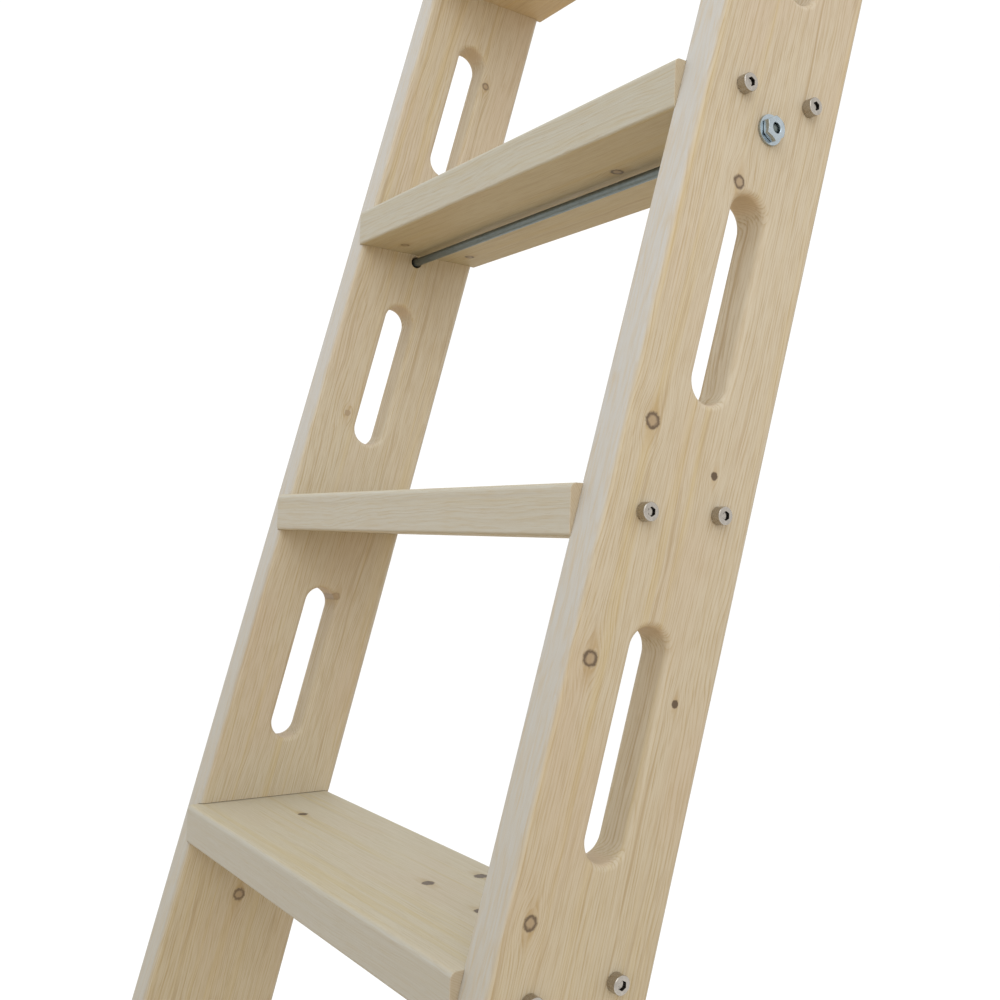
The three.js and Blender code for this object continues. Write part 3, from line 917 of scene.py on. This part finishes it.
def build_washer(node):
    low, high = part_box(node)
    outer = (high.z - low.z) / 2
    half = (high.x - low.x) / 2
    inner = WASHER_INNER_RADIUS
    ease = WASHER_EASE
    profile = [
        (-half, inner), (-half, outer - ease * 0.4), (ease * 0.4 - half, outer),
        (half - ease, outer), (half - ease * 0.3, outer - ease * 0.3), (half, outer - ease),
        (half, inner + ease * 0.5), (half - ease * 0.5, inner), (-half, inner),
    ]
    bm = bmesh.new()
    bridge(bm, turned_rings(bm, profile, 64), close_ends=False)
    side = 1 if low.x > 0 else -1
    piece = object_from(bm, f"{node}_part", fastener_frame((low + high) / 2, (side, 0, 0)))
    complete(piece, ZINC, "zinc_plated_steel", node)


def build_nut(node):
    """A plain hexagon nut with turned-off corners. The rod's end stands just inside its mouth."""
    low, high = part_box(node)
    side = 1 if low.x > 0 else -1
    height = high.x - low.x
    flats = hexagon(NUT_FLATS)

    def chamfered(x):
        reach = NUT_FACE_RADIUS + min(x, height - x) * NUT_CORNER_SLOPE
        return lambda angle: min(flats(angle), reach)

    bore = NUT_BORE_RADIUS
    rod_end = ROD_END_RADIUS
    heights = [0, 0.15, 0.3, 0.45, 0.65, 0.9]
    profile = [(0, bore)]
    profile += [(value * MM, chamfered(value * MM)) for value in heights]
    profile += [(height - value * MM, chamfered(height - value * MM)) for value in reversed(heights)]
    profile += [(height, NUT_MOUTH_RADIUS), (height - 0.5 * MM, rod_end), (height - 1.3 * MM, rod_end)]
    profile += [(height - 1.4 * MM, bore), (0, bore)]
    bm = bmesh.new()
    bridge(bm, turned_rings(bm, profile, 96), close_ends=False)
    centre = (low + high) / 2
    seat = (side * min(abs(low.x), abs(high.x)), centre.y, centre.z)
    piece = object_from(bm, f"{node}_part", fastener_frame(seat, (side, 0, 0)))
    complete(piece, ZINC, "zinc_plated_steel", node)


# ------------------------------------------------------------------ feet

def build_foot_pad(side_name):
    node = f"foot_pad_{side_name}"
    low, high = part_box(node)
    size = high - low
    centre = (low + high) / 2
    ease = PAD_EASE
    levels = [(ease, 0), (ease * 0.3, ease * 0.3), (0, ease), (0, size.z - ease),
              (ease * 0.3, size.z - ease * 0.3), (ease, size.z)]
    bm = bmesh.new()
    rings = []
    for inset, height in levels:
        outline = rounded_rectangle(size.x, size.y, PAD_CORNER, inset, 6)
        rings.append([bm.verts.new((x, y, height)) for x, y in outline])
    bridge(bm, rings)
    piece = object_from(bm, f"{node}_part", Matrix.Translation((centre.x, centre.y, low.z)))

    cutter = bmesh.new()
    count = int(size.y / 2 / PAD_RIB_PITCH) - 1
    screws = [middle_of(f"foot_screw_{side_name}_{depth}").y for depth in DEPTHS]
    for index in range(-count, count + 1):
        at = centre.y + index * PAD_RIB_PITCH
        if min(abs(at - screw) for screw in screws) > PAD_SCREW_LAND:
            groove_low = (low.x - PAST_LADDER, at - PAD_GROOVE_WIDTH / 2, -PAST_LADDER)
            groove_high = (high.x + PAST_LADDER, at + PAD_GROOVE_WIDTH / 2, PAD_GROOVE_DEPTH)
            add_box(cutter, groove_low, groove_high)
    under = -1 * MM
    for screw in screws:
        seat = (centre.x, screw, PAD_SCREW_SEAT)
        add_cylinder(cutter, (centre.x, screw, under), seat, PAD_SCREW_SEAT_RADIUS)
    cut(piece, object_from(cutter, f"{node}_ribs"))
    through = bmesh.new()
    for screw in screws:
        top = (centre.x, screw, PAD_BORE_TOP)
        add_cylinder(through, (centre.x, screw, under), top, FOOT_SCREW_HOLE / 2)
    cut(piece, object_from(through, f"{node}_bores"))
    complete(piece, RUBBER, "foot_rubber", node)


# ------------------------------------------------------------------ hooks

def hook_centre_line():
    """The bar's middle as ((across, along), scale), from the strap's foot to the tip, where the
    scale thins the bar to round its ends."""
    front = STILE_WIDTH + HOOK_GAP
    bend = HOOK_BEND_INSIDE + HOOK_THICKNESS / 2
    centre_across = front + HOOK_BEND_INSIDE + HOOK_THICKNESS
    centre_along = STILE_TOP + HOOK_RISE
    foot_along = STILE_TOP - HOOK_STRAP
    strap = front + HOOK_THICKNESS / 2
    stations = [
        ((strap, foot_along), 0.6),
        ((strap, foot_along + 0.8 * MM), 1.0),
        ((strap, centre_along), 1.0),
    ]
    lean = math.degrees(LEAN)
    stations += [(point, 1.0) for point in arc((centre_across, centre_along), bend, 180, lean, 32)[1:]]
    end = stations[-1][0]
    tip_direction = (math.sin(LEAN), -math.cos(LEAN))
    for step in range(7):
        angle = math.pi / 2 * step / 6
        reach = HOOK_TIP + HOOK_THICKNESS / 2 * math.sin(angle)
        point = (end[0] + tip_direction[0] * reach, end[1] + tip_direction[1] * reach)
        stations.append((point, max(0.04, math.cos(angle))))
    return stations


def build_rail_hook(side_name):
    node = f"rail_hook_{side_name}"
    stations = hook_centre_line()
    section = rounded_rectangle(HOOK_THICKNESS, HOOK_WIDTH, HOOK_EDGE_EASE, 0, 3)
    bm = bmesh.new()
    rings = []
    last = len(stations) - 1
    for index, (point, scale) in enumerate(stations):
        before = Vector(stations[max(index - 1, 0)][0])
        after = Vector(stations[min(index + 1, last)][0])
        direction = (after - before).normalized()
        sideways = Vector((direction.y, -direction.x))
        ring = []
        for through, across_width in section:
            spot = Vector(point) + sideways * through * scale
            ring.append(bm.verts.new((spot.y, spot.x, across_width)))
        rings.append(ring)
    bridge(bm, rings)
    piece = object_from(bm, f"{node}_part", stile_frame(SIDES[side_name]))
    holes = bmesh.new()
    for level in LEVELS:
        centre = middle_of(f"hook_screw_{side_name}_{level}")
        half = ACROSS * 60 * MM
        add_cylinder(holes, centre - half, centre + half, HOOK_SCREW_HOLE / 2)
    cut(piece, object_from(holes, f"{node}_holes"))
    complete(piece, COATED, "hook_steel", node)


# ------------------------------------------------------------------ the ladder

STILE_KNOTS = {
    "left": [(1164, 79, 4, 0.15), (858, 64, 5.5, 0.75), (880, 90, 4, 0.6), (1350, 36, 3.4, 0.05),
             (1760, 88, 4, 0.6), (610, 30, 5, 0.8), (420, 95, 4, 0.7), (2130, 50, 5, 0.5)],
    "right": [(1485, 49, 4.8, 0.90), (1299, 23, 5.6, 0.92), (1138, 18, 5.4, 0.93), (974, 20, 4.8, 0.9),
              (1281, 86, 2.8, 1.0), (1124, 96, 2.7, 1.0), (1760, 96, 5, 0.8), (640, 92, 5, 0.8),
              (390, 34, 4, 0.8), (2080, 40, 5.5, 0.8)],
}
TREAD_KNOTS = {
    1: [(-120, 60, 4, 0.8), (150, 95, 3.4, 0.7)],
    2: [(60, 50, 4, 0.8), (-190, 100, 3.4, 0.6)],
    3: [(-165, 80, 4.2, 1.0), (85, 76, 4.6, 1.0), (90, 120, 5.0, 1.0), (162, 76, 4.5, 1.0)],
    4: [(-60, 100, 4, 0.8), (140, 40, 3.4, 0.5)],
    5: [(116, 56, 5.4, 0.94), (-218, 36, 4.4, 0.6), (-213, 111, 4.6, 0.94)],
    6: [(-40, 70, 5, 0.8), (200, 90, 3.4, 0.7)],
    7: [(90, 100, 4, 0.7), (-170, 50, 4, 0.8)],
}
# Each board's own tint, and how strongly its rings show.
TREAD_LOOKS = {
    1: ((0.83, 0.87, 0.89), 0.50),
    2: ((0.86, 0.88, 0.88), 0.45),
    3: ((0.73, 0.77, 0.80), 0.24),
    4: ((0.82, 0.86, 0.88), 0.48),
    5: ((0.81, 0.86, 0.88), 0.55),
    6: ((0.98, 0.96, 0.94), 0.45),
    7: ((0.84, 0.87, 0.88), 0.50),
}
STILE_PITHS = {"left": (-45, 42, 0.012), "right": (150, 48, -0.012)}
STILE_RING_SPACING = 1.8 * MM
STILE_CONTRAST = 0.78
# How pale the stiles' edge faces are, part sapwood and part painted light.
STILE_EDGE_SAP_AND_LIGHT = 0.9
TREAD_RING_SPACING = 1.7 * MM
# How pale the treads' edge faces are, part sapwood and part painted light.
TREAD_EDGE_SAP_AND_LIGHT = 0.6


def tread_pith(number):
    """Each tread has its own place in the log. Grain rises one way in odd treads, the other in even."""
    return (-50 - 13 * (number % 3), -40 - 9 * (number % 4), 0.015 * (-1) ** number)


def build_ladder():
    for index, side_name in enumerate(SIDES):
        wood = pine(
            f"pine_stile_{side_name}", index + 1.3, STILE_PITHS[side_name], STILE_KNOTS[side_name],
            STILE_WIDTH, STILE_RING_SPACING, STILE_TONE, STILE_CONTRAST, STILE_EDGE_SAP_AND_LIGHT, PAINTED_FOOT_SHADE,
        )
        build_stile(side_name, wood)
    for number in TREADS:
        tone, contrast = TREAD_LOOKS[number]
        wood = pine(
            f"pine_tread_{number}", number * 2.7, tread_pith(number), TREAD_KNOTS[number],
            TREAD_DEPTH, TREAD_RING_SPACING, tone, contrast, TREAD_EDGE_SAP_AND_LIGHT, PLAIN,
        )
        build_tread(number, wood)
        for side_name, side in SIDES.items():
            for depth in DEPTHS:
                build_cap_screw(f"cap_screw_{number}_{side_name}_{depth}", side)
    for level in LEVELS:
        build_tie_rod(level)
        for side_name in SIDES:
            build_washer(f"tie_rod_washer_{level}_{side_name}")
            build_nut(f"tie_rod_nut_{level}_{side_name}")
    for side_name in SIDES:
        build_foot_pad(side_name)
        build_rail_hook(side_name)
        for depth in DEPTHS:
            node = f"foot_screw_{side_name}_{depth}"
            build_round_head_screw(node, (0, 0, -1), 2.6 * MM, 4.5 * MM, 2.25 * MM)
        for level in LEVELS:
            node = f"hook_screw_{side_name}_{level}"
            build_round_head_screw(node, ACROSS, 3.5 * MM, 6 * MM, 3 * MM)


# ------------------------------------------------------------------ studio

def build_floor():
    half = 300
    bm = bmesh.new()
    corners = [(-half, -half, 0), (half, -half, 0), (half, half, 0), (-half, half, 0)]
    bm.faces.new([bm.verts.new(corner) for corner in corners])
    floor = object_from(bm, "floor")
    material, graph, shader = new_material("pale_floor")
    place_on_floor = graph.node("ShaderNodeTexCoord").outputs["Object"]
    mottle = graph.noise(place_on_floor, 2.0, 3.0).outputs[0]
    colour = graph.mix(mottle, (0.965, 0.965, 0.965, 1), (0.985, 0.985, 0.98, 1))
    graph.feed(shader.inputs["Base Color"], colour)
    shader.inputs["Roughness"].default_value = 0.9
    shader.inputs["Specular IOR Level"].default_value = 0.2
    floor.data.materials.append(material)
    floor.visible_diffuse = False


def build_world():
    """An even white studio: bright above, dimmer and warmer below the horizon."""
    world = bpy.data.worlds.new("studio")
    bpy.context.scene.world = world
    world.use_nodes = True
    graph = Graph(world.node_tree)
    direction = graph.node("ShaderNodeTexCoord").outputs["Generated"]
    _, _, height = graph.split(direction)
    colour = graph.mix(graph.ramp(height, -0.35, -0.03), (0.70, 0.55, 0.35, 1), (1.05, 1.05, 1.05, 1))
    background = world.node_tree.nodes["Background"]
    graph.feed(background.inputs["Color"], colour)
    background.inputs["Strength"].default_value = 1.0


def add_softbox(name, location, target, size, power, colour):
    light = bpy.data.lights.new(name, "AREA")
    light.shape = "RECTANGLE"
    light.size, light.size_y = size
    light.energy = power
    light.color = colour
    lamp = bpy.data.objects.new(name, light)
    lamp.location = location
    lamp.rotation_euler = (Vector(target) - Vector(location)).to_track_quat("-Z", "Y").to_euler()
    bpy.context.scene.collection.objects.link(lamp)


def build_lights():
    middle = (0, 0, 1.2)
    add_softbox("overhead_softbox", (0.2, -1.4, 3.5), middle, (2.2, 1.8), 21, (0.78, 0.90, 1.0))
    add_softbox("side_softbox", (2.4, -1.5, 2.7), middle, (2.0, 2.0), 16, (1.0, 0.97, 0.93))


def build_camera():
    """The photograph's viewpoint: at eye level in front and to the right, looking across the ladder."""
    position = Vector((0.8532, -0.5152, 1.1690))
    yaw, pitch, roll = 0.9246, 0.0203, 0.0333
    forward = Vector((-math.sin(yaw) * math.cos(pitch), math.cos(yaw) * math.cos(pitch), math.sin(pitch)))
    level = Vector((math.cos(yaw), math.sin(yaw), 0))
    upright = level.cross(forward)
    right = level * math.cos(roll) + upright * math.sin(roll)
    up = upright * math.cos(roll) - level * math.sin(roll)
    camera_data = bpy.data.cameras.new("camera")
    camera_data.sensor_width = 36
    camera_data.lens = 40.91
    camera_data.shift_x = -0.0955
    camera_data.shift_y = 0.0226
    camera_data.clip_start = 0.05
    camera = bpy.data.objects.new("camera", camera_data)
    matrix = Matrix((right, up, -forward)).transposed().to_4x4()
    matrix.translation = position
    camera.matrix_world = matrix
    bpy.context.scene.collection.objects.link(camera)
    bpy.context.scene.camera = camera


build_camera()
build_world()
build_lights()
build_floor()
build_ladder()
bpy.context.scene.view_settings.view_transform = "Standard"
